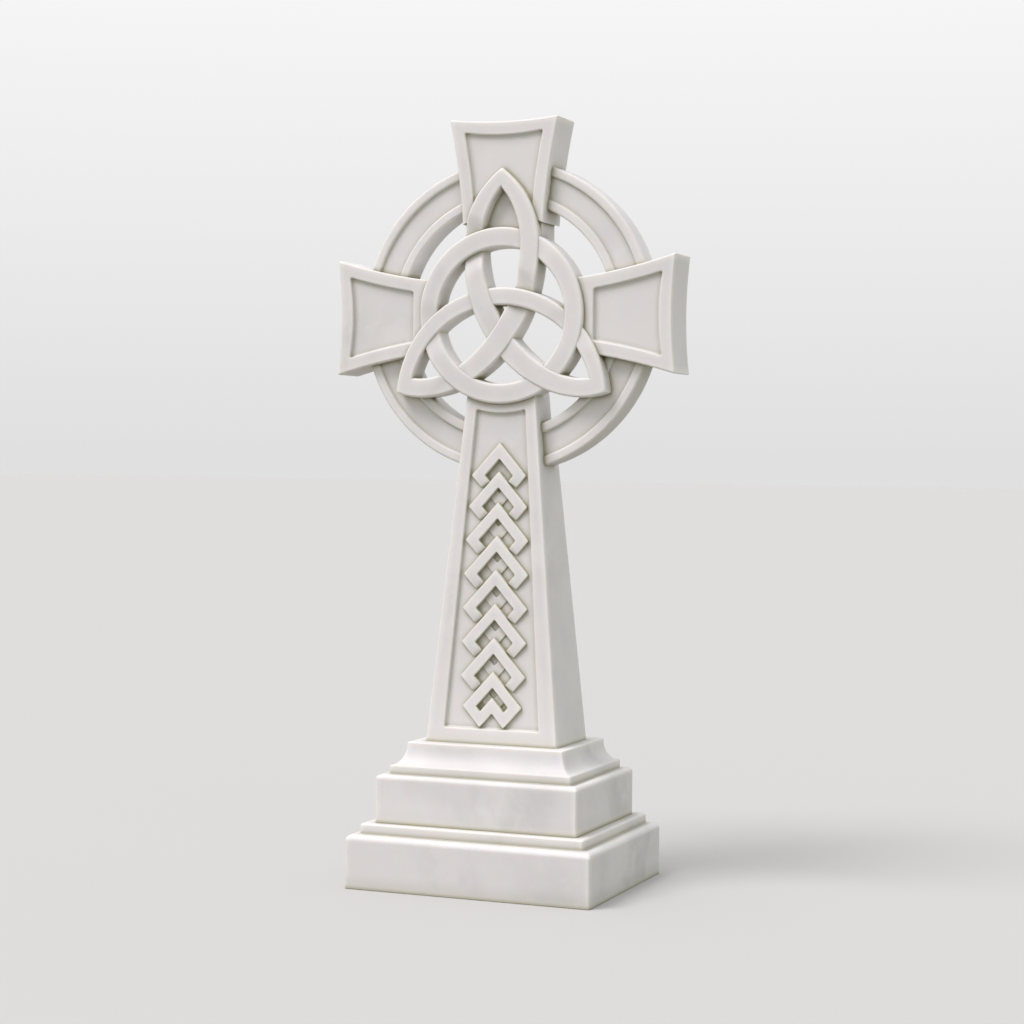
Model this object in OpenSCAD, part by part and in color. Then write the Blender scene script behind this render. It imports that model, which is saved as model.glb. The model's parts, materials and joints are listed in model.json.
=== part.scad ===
// Celtic cross gravestone in white marble: two stepped plinths and a ringed
// cross carved in one piece, with an openwork knot at its centre.
// Millimetres. +Z is up, +X is the right arm seen from the front, the front
// faces -Y. The origin is the middle of the underside of the lower plinth.

/* [Overall] */
// Height from the ground to the top of the upper arm
total_h = 1500; // [1250:10:1800]

/* [Lower plinth] */
// Width of the lower block, left to right
lower_w = 506; // [430:2:610]
// Depth of the lower block, front to back
lower_d = 414; // [350:2:500]
// Height of the lower block
lower_h = 105; // [70:1:150]
// Radius worked on the upper edges of the lower block
lower_edge_r = 9; // [2:1:16]
// Ledge left round the thin step on the lower block
lower_step_in = 22; // [12:1:28]
// Height of the thin step on the lower block
lower_step_h = 20; // [10:1:35]

/* [Upper plinth] */
// Ledge left round the upper block
upper_in = 22; // [8:1:28]
// Height of the upper block
upper_h = 94; // [60:1:130]
// Radius worked on the upper edges of the upper block
upper_edge_r = 7; // [2:1:12]
// Ledge left round the thin step on the upper block
upper_step_in = 20; // [10:1:26]
// Height of the thin step on the upper block
upper_step_h = 17; // [10:1:30]
// How far the cove draws in from the thin step
cove_in = 26; // [12:1:32]
// Height of the cove
cove_h = 40; // [25:1:60]
// Height of the flat band above the cove
cap_h = 4; // [3:1:12]

/* [Shaft] */
// Ledge of the cap left at each side of the shaft
foot_ledge_x = 25; // [10:1:32]
// Ledge of the cap left before and behind the shaft
foot_ledge_y = 33; // [15:1:38]
// Width of the shaft where it meets the knot
neck_w = 148; // [120:1:170]
// Thickness of the arms and of the top of the shaft
head_d = 94; // [78:1:115]
// Width of the raised border at the foot of the shaft
border_foot = 37; // [24:1:46]
// Width of the raised border at the top of the shaft
border_top = 24; // [18:1:30]
// Height of the raised border under the shaft panel
border_low = 30; // [15:1:60]
// Width of the arched border between the knot and the shaft panel
border_arch = 18; // [10:1:30]
// Depth of every sunk panel
panel_sink = 7; // [3:0.5:10]

/* [Arms] */
// Height of the upper arm's end above the centre of the head
head_rise = 385; // [340:1:440]
// Reach of each side arm from the centre of the head
arm_reach = 355; // [325:1:430]
// Width of the upper arm at its end
top_end_w = 228; // [190:1:274]
// Width of the upper arm at the knot
top_root_w = 168; // [140:1:180]
// Width of a side arm at its end
side_end_w = 230; // [190:1:276]
// Width of a side arm at the knot
side_root_w = 148; // [124:1:170]
// Hollow of the arms' long edges
edge_sag = 4; // [0:0.5:10]
// Hollow of the arms' ends
end_dip = 7; // [0:0.5:14]
// Width of the raised border round the arm panels
arm_border = 27; // [18:1:34]
// Space between the knot and the side arms' panels
panel_start = 18; // [10:1:30]
// Space between the knot and the step where an arm takes its full thickness
hub_step = 26; // [16:1:40]
// How far the upper arm's neck is narrower on each side than its root
neck_in = 4; // [2:1:10]

/* [Ring] */
// Radius of the outside of the ring
ring_ro = 304; // [280:1:318]
// Width of the ring, from its inside to its outside
ring_w = 81; // [64:1:94]
// Thickness of the ring, front to back
ring_t = 60; // [46:1:74]
// Width of each raised rim of the ring
rim_w = 19; // [10:1:24]
// Depth of the channel between the rims
rim_sink = 6; // [3:0.5:10]

/* [Knot] */
// Radius of the outside of the knot's circle
knot_ro = 172; // [160:1:184]
// Width of the circle's band
knot_band = 39; // [30:1:46]
// How far the knot stands in front of the arms
knot_proud = 10; // [4:1:18]
// Thickness of the knot, front to back
knot_t = 48; // [38:1:60]
// How far a strand dips where it passes under another
strand_dip = 13; // [6:1:20]
// Height of the upper lobe's outer tip
lobe_top = 287; // [270:1:310]
// Height of the upper lobe's inner tip
lobe_top_in = 248; // [236:1:256]
// Half the span between the lower lobes' outer tips
lobe_span = 221; // [206:1:236]
// Half the span between the lower lobes' inner tips
lobe_span_in = 185; // [174:1:196]
// Drop of the lower lobes' outer tips below the centre
lobe_drop = 150; // [140:1:164]
// Drop of the lower lobes' inner tips below the centre
lobe_drop_in = 121; // [112:1:130]
// Widest reach of the upper lobe's outer edge
lobe_reach = 80; // [72:1:88]
// Widest reach of the upper lobe's inner edge
lobe_reach_in = 40; // [34:1:46]
// Height at which the upper lobe is widest
lobe_belly = 135; // [120:1:150]
// Crown of the lower strand's upper edge above the centre
crown = 55; // [48:1:62]
// Crown of the lower strand's lower edge above the centre
crown_in = 20; // [14:1:26]

/* [Diamond chain] */
// Half width of a full link
link_half = 68; // [50:1:76]
// Least half width of the last link
link_least = 50; // [40:1:60]
// Slope of a link's sides, height over width
link_slope = 1.12; // [0.95:0.01:1.3]
// Distance from one link to the next, as a share of its half height
link_pitch = 0.87; // [0.8:0.01:1]
// Width of a link's strand
link_strand = 22; // [14:1:26]
// Space left between a link and the border
link_clear = 4; // [2:1:12]
// Drop of the chain's top below the top of the panel
chain_drop = 58; // [30:1:120]
// How far the upper half of a link stands above the panel
link_raise = 7; // [4:0.5:12]
// How far the lower half of a link stands above the panel
link_low = 5; // [2:0.5:8]
// Space left between the last link's points and the lower border
link_trim = 1.5; // [1:0.5:4]
// Width of the cut line where one link goes under the next
link_groove = 2.5; // [1:0.5:4]
// Half the distance between the last link's two points
prong_half = 25; // [18:1:32]

/* [Hidden] */
marble = [0.90, 0.89, 0.87];
plinth_marble = [0.86, 0.85, 0.83];
curve_steps = 14;
$fn = 96;
overlap = 0.5;

// Plan of each course, from the lower block inwards
step_w = lower_w - 2 * lower_step_in;
step_d = lower_d - 2 * lower_step_in;
upper_w = step_w - 2 * upper_in;
upper_d = step_d - 2 * upper_in;
upper_step_w = upper_w - 2 * upper_step_in;
upper_step_d = upper_d - 2 * upper_step_in;
cap_w = upper_step_w - 2 * cove_in;
cap_d = upper_step_d - 2 * cove_in;

// Levels above the ground
upper_z = lower_h + lower_step_h;
upper_step_z = upper_z + upper_h;
cove_z = upper_step_z + upper_step_h;
foot_z = cove_z + cove_h + cap_h;
centre_z = total_h - head_rise;

// Shaft: half sizes at the foot and at the knot
foot_hx = cap_w / 2 - foot_ledge_x;
foot_hy = cap_d / 2 - foot_ledge_y;
neck_hx = neck_w / 2;
neck_hy = head_d / 2;
neck_z = centre_z - knot_ro;
shaft_h = neck_z - foot_z;
shaft_tilt = atan((foot_hy - neck_hy) / shaft_h);
panel_top_r = knot_ro + border_arch;

// Head: planes and radii
front_y = -head_d / 2;
back_y = head_d / 2;
ring_ri = ring_ro - ring_w;
knot_ri = knot_ro - knot_band;
knot_mid_r = (knot_ro + knot_ri) / 2;
hub_step_r = knot_ro + hub_step;
knot_y = front_y - knot_proud;
knot_back_y = knot_y + knot_t;
under_r = knot_band * 0.8;

function mix(a, b, t) = a + (b - a) * t;
function rev(v) = [for (i = [len(v) - 1 : -1 : 0]) v[i]];
function mirrored(v) = [for (p = rev(v)) [-p[0], p[1]]];

// One point of a cubic curve with the four given control points
function cubic(p, t) =
    pow(1 - t, 3) * p[0] + 3 * pow(1 - t, 2) * t * p[1] + 3 * (1 - t) * t * t * p[2] + pow(t, 3) * p[3];
function cubic_run(p) = [for (i = [0 : curve_steps - 1]) cubic(p, i / curve_steps)];

// Half width of an arm at height y, drawn in a little by the sag
function arm_half(y, root_y, reach, root_w, end_w) =
    let (t = (y - root_y) / (reach - root_y))
    mix(root_w, end_w, t) / 2 - 4 * edge_sag * t * (1 - t);

// Outline of an arm that points up, drawn in by a margin all round
function arm_points(root_y, low_y, reach, root_w, end_w, margin) =
    let (
        high_y = reach - margin,
        half_end = arm_half(high_y, root_y, reach, root_w, end_w) - margin,
        side = [
            for (i = [0 : curve_steps])
                let (y = mix(low_y, high_y, i / curve_steps))
                [arm_half(y, root_y, reach, root_w, end_w) - margin, y]
        ],
        top = [
            for (i = [1 : curve_steps - 1])
                let (x = mix(half_end, -half_end, i / curve_steps))
                [x, high_y - end_dip * (1 - pow(x / half_end, 2))]
        ]
    )
    concat(side, top, mirrored(side));

// Half width of the sunk shaft panel at height h above the foot
function panel_half(h) =
    mix(foot_hx, neck_hx, h / shaft_h) - mix(border_foot, border_top, h / shaft_h);

// A flat shape in the plane of the head, from one y to another
module slab(front, back) {
    translate([0, back, centre_z])
        rotate([90, 0, 0])
            linear_extrude(back - front) children();
}

// A flat shape on the sloping front of the shaft, sunk or raised along its normal
module on_shaft(sink, rise) {
    translate([0, -foot_hy, foot_z])
        rotate([90 - shaft_tilt, 0, 0])
            translate([0, 0, -sink])
                linear_extrude(sink + rise) children();
}

module block(w, d, z, h) {
    translate([-w / 2, -d / 2, z]) cube([w, d, h]);
}

// Section of a block whose two upper edges are rounded
module soft_section(w, h, r) {
    translate([-w / 2, 0]) square([w, h - r]);
    translate([-w / 2 + r, 0]) square([w - 2 * r, h]);
    for (side = [-1, 1])
        translate([side * (w / 2 - r), h - r]) circle(r = r);
}

// The common part of two straight mouldings, mitred at the corners
module crossed(w, d, z) {
    translate([0, 0, z])
        intersection() {
            rotate([90, 0, 0]) linear_extrude(d, center = true) children(0);
            rotate([90, 0, 90]) linear_extrude(w, center = true) children(1);
        }
}

module soft_block(w, d, z, h, r) {
    crossed(w, d, z) {
        soft_section(w, h, r);
        soft_section(d, h, r);
    }
}

module lower_plinth() {
    color(plinth_marble) {
        soft_block(lower_w, lower_d, 0, lower_h, lower_edge_r);
        block(step_w, step_d, lower_h - overlap, lower_step_h + overlap);
    }
}

// Section of the cove and the flat band above it
module cove_section(half) {
    right = concat(
        [[half + cove_in, 0]],
        [
            for (i = [1 : curve_steps - 1])
                let (a = 90 * i / curve_steps)
                [half + cove_in * (1 - sin(a)), cove_h * (1 - cos(a))]
        ],
        [[half, cove_h], [half, cove_h + cap_h]]
    );
    polygon(concat(right, mirrored(right)));
}

module cove() {
    crossed(upper_step_w, upper_step_d, cove_z) {
        cove_section(cap_w / 2);
        cove_section(cap_d / 2);
    }
}

module upper_plinth() {
    color(plinth_marble) {
        soft_block(upper_w, upper_d, upper_z, upper_h, upper_edge_r);
        block(upper_step_w, upper_step_d, upper_step_z - overlap, upper_step_h + overlap);
        cove();
    }
}

// The plain tapering shaft, from its foot up into the hub
module shaft_body() {
    top_z = centre_z - knot_ri * 0.7;
    over = (top_z - foot_z) / shaft_h;
    top_hx = mix(foot_hx, neck_hx, over);
    top_hy = mix(foot_hy, neck_hy, over);
    polyhedron(
        points = [
            for (v = [[foot_hx, foot_hy, foot_z], [top_hx, top_hy, top_z]])
                for (s = [[-1, -1], [1, -1], [1, 1], [-1, 1]])
                    [s[0] * v[0], s[1] * v[1], v[2]]
        ],
        faces = [[0, 1, 2, 3], [7, 6, 5, 4], [0, 4, 5, 1], [1, 5, 6, 2], [2, 6, 7, 3], [3, 7, 4, 0]]
    );
}

// The sunk field of the shaft, rounded off above about the knot's centre
module shaft_panel() {
    top = shaft_h / cos(shaft_tilt);
    difference() {
        polygon([
            [-panel_half(border_low), border_low],
            [panel_half(border_low), border_low],
            [panel_half(top), top],
            [-panel_half(top), top]
        ]);
        translate([0, (centre_z - foot_z) / cos(shaft_tilt)]) circle(r = panel_top_r);
    }
}

// Half width of a link at that height, and of a last link that would end on
// the lower border
function chain_width(top_y) =
    let (side_y = top_y - link_half * link_slope)
    min(link_half, panel_half(side_y) - link_clear);
function last_width(top_y) = ((top_y - border_low - link_trim) / link_slope + prong_half) / 2;

// Links from the top down, as many as there is room for: [top point, half width]
function chain(top_y) =
    let (half = chain_width(top_y), next_y = top_y - link_pitch * half * link_slope)
    last_width(next_y) < link_least
        ? [[top_y, min(half, last_width(top_y))]]
        : concat([[top_y, half]], chain(next_y));

// Upright thickness of a strand whose square width is link_strand
strand_v = link_strand / cos(atan(link_slope));

// Outline of a link from its top point down; the last link ends in two points
// with a notch between them
module link_outline(half, top_y, last) {
    high = half * link_slope;
    point_y = -high - (half - prong_half) * link_slope;
    lower = last
        ? [[prong_half, point_y], [0, point_y + prong_half * link_slope], [-prong_half, point_y]]
        : [[0, -2 * high]];
    translate([0, top_y]) polygon(concat([[-half, -high], [0, 0], [half, -high]], lower));
}

module link(half, top_y, last) {
    difference() {
        link_outline(half, top_y, last);
        link_outline(half - strand_v / link_slope, top_y - strand_v, last);
    }
}

// All that lies below the upper sides of a link, with the cut line above them
module below_link(top_y) {
    y = top_y + link_groove / cos(atan(link_slope));
    reach = 2 * link_half;
    polygon([[0, y], [reach, y - reach * link_slope], [-reach, y - reach * link_slope]]);
}

// Each link hangs over the one above it, whose lower corner goes under
module diamond_chain() {
    row = chain((centre_z - foot_z - panel_top_r) / cos(shaft_tilt) - chain_drop);
    last = len(row) - 1;
    on_shaft(panel_sink + overlap, link_raise - panel_sink)
        for (i = [0 : last])
            difference() {
                link(row[i][1], row[i][0], i == last);
                if (i < last) below_link(row[i + 1][0]);
            }
    on_shaft(panel_sink + overlap, link_low - panel_sink)
        for (i = [0 : last - 1])
            intersection() {
                link(row[i][1], row[i][0], false);
                below_link(row[i + 1][0]);
            }
}

module shaft() {
    difference() {
        shaft_body();
        slab(-foot_hy, foot_hy) circle(r = knot_mid_r);
        slab(ring_t / 2, foot_hy) circle(r = ring_ri);
        on_shaft(panel_sink, panel_sink) shaft_panel();
    }
    diamond_chain();
}

// A side arm runs in to the knot; its back steps in line with the ring
module side_arm(side) {
    turn = -90 * side;
    difference() {
        slab(front_y, back_y)
            difference() {
                rotate(turn)
                    polygon(arm_points(knot_ro, knot_ri * 0.8, arm_reach, side_root_w, side_end_w, 0));
                circle(r = knot_mid_r);
            }
        slab(ring_t / 2, back_y + overlap) circle(r = hub_step_r);
        slab(front_y - overlap, front_y + panel_sink)
            rotate(turn)
                polygon(arm_points(
                    knot_ro, knot_ro + panel_start, arm_reach, side_root_w, side_end_w, arm_border
                ));
    }
}

// The upper arm stops short of the knot and stands on a thinner neck
module top_arm() {
    neck_half = top_root_w / 2 - neck_in;
    difference() {
        slab(front_y, back_y)
            difference() {
                polygon(arm_points(knot_ro, knot_ro * 0.9, head_rise, top_root_w, top_end_w, 0));
                circle(r = hub_step_r);
            }
        slab(front_y - overlap, front_y + panel_sink)
            polygon(arm_points(knot_ro, knot_ro * 0.9, head_rise, top_root_w, top_end_w, arm_border));
    }
    slab(front_y + panel_sink, ring_t / 2)
        difference() {
            translate([-neck_half, knot_ri * 0.8]) square([2 * neck_half, hub_step_r - knot_ri * 0.8]);
            circle(r = knot_mid_r);
        }
}

module ring() {
    slab(-ring_t / 2 + rim_sink, ring_t / 2)
        difference() {
            circle(r = ring_ro);
            circle(r = ring_ri);
        }
    slab(-ring_t / 2, 0)
        for (r = [ring_ro, ring_ri + rim_w])
            difference() {
                circle(r = r);
                circle(r = r - rim_w);
            }
}

// An edge of the leg, the strand that leaves the top tip, fills the right side
// of the upper lobe and crosses down to the left tip: two cubic curves
function leg_edge(top, reach, turn_y, sweep, sag, span, drop) = [
    [
        [0, top],
        [0.6 * reach, mix(top, lobe_belly, 0.24)],
        [reach, mix(lobe_belly, top, 0.44)],
        [reach, lobe_belly]
    ],
    [[reach, lobe_belly], [reach, turn_y], [-sweep * span, -sag * drop], [-span, -drop]]
];
leg_outer = leg_edge(lobe_top, lobe_reach, -0.65 * lobe_drop, 0.55, 1.28, lobe_span, lobe_drop);
leg_inner = leg_edge(lobe_top_in, lobe_reach_in, 0, 0.43, 1.12, lobe_span_in, lobe_drop_in);

function leg_at(edge, t) = t < 1 ? cubic(edge[0], t) : cubic(edge[1], t - 1);
function leg_run(edge) = [for (i = [0 : 2 * curve_steps]) leg_at(edge, i / curve_steps)];

module leg_strand() {
    polygon(concat(leg_run(leg_outer), rev(leg_run(leg_inner))));
}

// The lower strand lies between two arcs, each through two tips and a crown:
// [radius, height of the arc's centre, angle from the crown to a tip]
function crown_arc(span, drop, top) =
    let (rise = top + drop, r = (span * span + rise * rise) / (2 * rise))
    [r, top - r, acos(1 - rise / r)];
function arc_at(arc, t) = [arc[0] * sin(arc[2] * t), arc[1] + arc[0] * cos(arc[2] * t)];
function arc_run(arc) = [for (i = [-2 * curve_steps : 2 * curve_steps]) arc_at(arc, i / curve_steps / 2)];

crown_outer = crown_arc(lobe_span, lobe_drop, crown);
crown_inner = crown_arc(lobe_span_in, lobe_drop_in, crown_in);

module crown_strand() {
    polygon(concat(arc_run(crown_outer), rev(arc_run(crown_inner))));
}

module circle_strand() {
    difference() {
        circle(r = knot_ro);
        circle(r = knot_ri);
    }
}

// Middles of the strands, and the point of a run where a measure is least
leg_mid = [for (i = [0 : 400]) (leg_at(leg_outer, i / 200) + leg_at(leg_inner, i / 200)) / 2];
crown_mid = [for (i = [0 : 200]) (arc_at(crown_outer, i / 200) + arc_at(crown_inner, i / 200)) / 2];
function where_least(run, off) = run[search(min(off), off)[0]];
function part_of(run, from, to) = [for (i = [from : to]) run[i]];
function meets_circle(run) = where_least(run, [for (p = run) abs(norm(p) - knot_mid_r)]);
function to_crown(p) = min([for (q = crown_mid) norm([abs(p[0]), p[1]] - q)]);

// Crossings: each point is where two strands pass over one another
on_circle_high = meets_circle(part_of(leg_mid, 0, 240));
on_circle_low = meets_circle(part_of(leg_mid, 300, 400));
on_circle_side = meets_circle(crown_mid);
leg_tail = part_of(leg_mid, 220, 320);
legs_meet = where_least(leg_tail, [for (p = leg_tail) abs(p[0])]);
leg_crown = where_least(leg_tail, [for (p = leg_tail) p[0] > 10 ? to_crown(p) : knot_ro]);

// A strand at full height, cut down to the lower level where it passes under
module woven(unders) {
    low_y = knot_y + strand_dip;
    slab(low_y, knot_back_y) children();
    slab(knot_y, low_y + overlap)
        difference() {
            children();
            for (p = unders) translate(p) circle(r = under_r);
        }
}

function flip(p) = [-p[0], p[1]];

module knot() {
    woven([flip(on_circle_side), on_circle_high, flip(on_circle_low)]) circle_strand();
    woven([leg_crown, on_circle_low]) leg_strand();
    woven([flip(on_circle_high), legs_meet]) mirror([1, 0]) leg_strand();
    woven([flip(leg_crown), on_circle_side]) crown_strand();
}

module cross() {
    color(marble) {
        shaft();
        for (side = [-1, 1]) side_arm(side);
        top_arm();
        ring();
        knot();
    }
}

lower_plinth();
upper_plinth();
cross();
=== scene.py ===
"""A white marble Celtic cross grave marker, finished round its construction model.

The stones are built in millimetres about the same origin as the construction
model and put down in metres: two plinth courses with soft mouldings, and the
cross, whose shaft, arms, ring, knot and chain of links are made one by one and
then united into one carved stone.
"""

import json
import logging
import math
from collections.abc import Callable, Iterator
from contextlib import contextmanager
from dataclasses import dataclass
from enum import Enum

import bmesh
import bpy
import numpy as np
from mathutils import Matrix, Vector

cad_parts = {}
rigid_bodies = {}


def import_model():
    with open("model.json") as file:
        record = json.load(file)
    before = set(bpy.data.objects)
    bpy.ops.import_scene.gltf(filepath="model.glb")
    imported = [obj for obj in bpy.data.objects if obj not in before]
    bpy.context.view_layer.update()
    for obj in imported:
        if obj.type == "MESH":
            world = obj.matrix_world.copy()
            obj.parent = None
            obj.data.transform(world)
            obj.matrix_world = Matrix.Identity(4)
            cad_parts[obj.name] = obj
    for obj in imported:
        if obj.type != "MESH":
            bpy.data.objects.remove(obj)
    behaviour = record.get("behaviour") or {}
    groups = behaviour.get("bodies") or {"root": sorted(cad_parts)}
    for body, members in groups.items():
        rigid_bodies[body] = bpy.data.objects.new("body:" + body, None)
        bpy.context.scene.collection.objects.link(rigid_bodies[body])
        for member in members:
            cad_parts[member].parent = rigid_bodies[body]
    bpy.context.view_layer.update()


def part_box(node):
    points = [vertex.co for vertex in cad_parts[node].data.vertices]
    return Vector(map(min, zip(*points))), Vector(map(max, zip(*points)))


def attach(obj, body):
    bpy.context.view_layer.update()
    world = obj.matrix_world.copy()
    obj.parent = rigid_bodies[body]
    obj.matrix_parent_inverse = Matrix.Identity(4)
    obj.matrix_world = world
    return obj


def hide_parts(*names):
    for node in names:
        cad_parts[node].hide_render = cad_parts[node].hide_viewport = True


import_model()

MM = 0.001
BODY = "root"

# All in millimetres.
SLIVER = 0.002  # edges shorter than this are taken out
PAST = 5.0  # how far a cutting tool runs past the stone
WELL_PAST = 20.0  # the same at the foot of the shaft, whose sides lean
SKIM = 1.0  # how far a shallow tool starts before the ground
TOP_BAND = 60.0  # width of the flat band round the top of a plinth course
CENTRE_BELOW_TOP = 385.0  # from the top of the cross down to the middle of its head
SHAFT_FOOT_HALF = 138.0  # half width of the shaft at its foot

DISC_STEPS = 180  # sides of a round cutting tool
MIX_SHARE, MIX_FIRST, MIX_SECOND, MIX_RESULT = 0, 6, 7, 2  # a colour mix node's sockets

Point = tuple[float, float]
Outline = list[Point]
Colour = tuple[float, float, float]
Socket = bpy.types.NodeSocket

log = logging.getLogger("celtic_cross")


class Operation(Enum):
    """How two solids are put together."""

    UNITE = "UNION"
    CUT = "DIFFERENCE"


# ---------------------------------------------------------------- plain maths


def mix(a: float, b: float, t: float) -> float:
    """Return the value a share t of the way from a to b."""
    return a + (b - a) * t


def smooth_step(t: float) -> float:
    """Return t eased between 0 and 1."""
    t = min(max(t, 0.0), 1.0)
    return t * t * (3.0 - 2.0 * t)


def line(a: Point, b: Point, count: int) -> Outline:
    """Return count points from a towards b, without b itself.

    Args:
        a: First point.
        b: Point that the line runs to.
        count: How many points to give.

    Returns:
        The points, evenly spaced.
    """
    return [(mix(a[0], b[0], i / count), mix(a[1], b[1], i / count)) for i in range(count)]


def bow(a: Point, b: Point, depth: float, count: int) -> Outline:
    """Return points from a towards b on a shallow curve, without b itself.

    Args:
        a: First point.
        b: Point that the curve runs to.
        depth: How far the middle lies to the left of the straight line.
        count: How many points to give.

    Returns:
        The points, evenly spaced along the straight line.
    """
    length = math.dist(a, b)
    left = (-(b[1] - a[1]) / length, (b[0] - a[0]) / length)
    points = []
    for i in range(count):
        t = i / count
        off = 4.0 * depth * t * (1.0 - t)
        points.append((mix(a[0], b[0], t) + left[0] * off, mix(a[1], b[1], t) + left[1] * off))
    return points


def turn(outline: Outline, degrees: float) -> Outline:
    """Return an outline turned about the origin, anticlockwise."""
    c, s = math.cos(math.radians(degrees)), math.sin(math.radians(degrees))
    return [(x * c - y * s, x * s + y * c) for x, y in outline]


def fillet(outline: list[tuple[float, float, float]], steps: int = 4) -> Outline:
    """Round the corners of an outline.

    Args:
        outline: Corners as (x, y, radius); a radius of 0 keeps the corner.
        steps: Pieces that each rounded corner is made of.

    Returns:
        The outline with an arc at each rounded corner.
    """
    points: Outline = []
    count = len(outline)
    for i, (x, y, radius) in enumerate(outline):
        here = Vector((x, y))
        if radius <= 0.0:
            points.append((x, y))
            continue
        back = (Vector(outline[i - 1][:2]) - here).normalized()
        ahead = (Vector(outline[(i + 1) % count][:2]) - here).normalized()
        half = back.angle(ahead) / 2.0
        reach = radius / math.tan(half)
        middle = here + (back + ahead).normalized() * (radius / math.sin(half))
        start, end = here + back * reach - middle, here + ahead * reach - middle
        first = math.atan2(start.y, start.x)
        sweep = (math.atan2(end.y, end.x) - first + math.pi) % math.tau - math.pi
        for k in range(steps + 1):
            angle = first + sweep * k / steps
            points.append((middle.x + radius * math.cos(angle), middle.y + radius * math.sin(angle)))
    return points


def cubic(p: list[Point], t: float) -> Point:
    """Return one point of a cubic curve with four control points."""
    weights = ((1 - t) ** 3, 3 * (1 - t) ** 2 * t, 3 * (1 - t) * t * t, t**3)
    return (
        sum(w * q[0] for w, q in zip(weights, p)),
        sum(w * q[1] for w, q in zip(weights, p)),
    )


def flip(place: Point) -> Point:
    """Return a place mirrored left to right."""
    return (-place[0], place[1])


def middle_line(first: Outline, second: Outline) -> Outline:
    """Return the line midway between two others of as many points."""
    return [((a + c) / 2.0, (b + d) / 2.0) for (a, b), (c, d) in zip(first, second)]


def circle(radius: float, steps: int, centre_z: float = 0.0) -> Outline:
    """Return points round an upright circle about a height."""
    angles = (math.tau * i / steps for i in range(steps))
    return [(radius * math.cos(angle), centre_z + radius * math.sin(angle)) for angle in angles]


# ------------------------------------------------------------- mesh and tools


def add_object(name: str, vertices: list, edges: list, faces: list) -> bpy.types.Object:
    """Make a mesh object and put it in the scene.

    Args:
        name: Name of the object and its mesh.
        vertices: Points in millimetres.
        edges: Pairs of vertex numbers.
        faces: Lists of vertex numbers.

    Returns:
        The object, in metres.
    """
    mesh = bpy.data.meshes.new(name)
    mesh.from_pydata([(x * MM, y * MM, z * MM) for x, y, z in vertices], edges, faces)
    return show(mesh)


def show(mesh: bpy.types.Mesh) -> bpy.types.Object:
    """Put a mesh in the scene as an object of the same name."""
    piece = bpy.data.objects.new(mesh.name, mesh)
    bpy.context.scene.collection.objects.link(piece)
    return piece


def mark_points(piece: bpy.types.Object, name: str, values: list) -> None:
    """Give each point of a piece a named number, or a named vector."""
    kind, slot = ("FLOAT_VECTOR", "vector") if isinstance(values[0], tuple) else ("FLOAT", "value")
    marks = piece.data.attributes.new(name, kind, "POINT")
    marks.data.foreach_set(slot, np.ravel(values).tolist())


def new_piece(name: str, vertices: list, faces: list) -> bpy.types.Object:
    """Make a closed piece from points in millimetres, its faces pointing outwards."""
    return point_outwards(add_object(name, vertices, [], faces))


def band_faces(bands: int, count: int, closed: bool) -> list[list[int]]:
    """Return the faces that join rings of points, each to the next.

    Args:
        bands: How many rings there are.
        count: Points in each ring.
        closed: Join the last ring to the first; otherwise a face closes each end.

    Returns:
        Lists of vertex numbers.
    """
    faces = []
    for band in range(bands if closed else bands - 1):
        low, high = band * count, (band + 1) % bands * count
        following = [(i + 1) % count for i in range(count)]
        faces += [[low + i, low + k, high + k, high + i] for i, k in enumerate(following)]
    if not closed:
        faces.append(list(range(count)))
        faces.append([bands * count - 1 - i for i in range(count)])
    return faces


def stacked(name: str, rings: list[list], closed: bool = False) -> bpy.types.Object:
    """Make a closed piece from rings of points, each joined to the next.

    Args:
        name: Name of the object.
        rings: Rings of as many points each, in millimetres.
        closed: Join the last ring to the first; otherwise a face closes each end.

    Returns:
        The piece.
    """
    vertices = [point for ring in rings for point in ring]
    return new_piece(name, vertices, band_faces(len(rings), len(rings[0]), closed))


@contextmanager
def edited(piece: bpy.types.Object) -> Iterator[bmesh.types.BMesh]:
    """Open a piece's mesh for an edit and write it back."""
    work = bmesh.new()
    work.from_mesh(piece.data)
    yield work
    work.to_mesh(piece.data)
    work.free()


def point_outwards(piece: bpy.types.Object) -> bpy.types.Object:
    """Turn the faces of a closed piece outwards."""
    with edited(piece) as work:
        bmesh.ops.recalc_face_normals(work, faces=work.faces)
    return piece


def into_triangles(piece: bpy.types.Object) -> bpy.types.Object:
    """Cut every face of a piece into triangles."""
    with edited(piece) as work:
        bmesh.ops.triangulate(work, faces=work.faces)
    return piece


def settle(piece: bpy.types.Object) -> bpy.types.Object:
    """Turn a piece and its modifiers into one plain mesh."""
    graph = bpy.context.evaluated_depsgraph_get()
    mesh = bpy.data.meshes.new_from_object(piece.evaluated_get(graph))
    piece.modifiers.clear()
    piece.data = mesh
    return piece


def round_edges(
    piece: bpy.types.Object, width: float, steps: int = 3, angle: float = 28.0
) -> bpy.types.Object:
    """Round every edge of a piece that is sharper than an angle.

    Args:
        piece: The piece, whose mesh is replaced.
        width: Width of the rounding in millimetres.
        steps: Pieces that the rounding is made of.
        angle: Least turn in degrees at an edge that is rounded.

    Returns:
        The same piece.
    """
    bevel = piece.modifiers.new("round", "BEVEL")
    bevel.limit_method = "ANGLE"
    bevel.angle_limit = math.radians(angle)
    bevel.width = width * MM
    bevel.segments = steps
    bevel.miter_outer = "MITER_ARC"
    return settle(piece)


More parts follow.
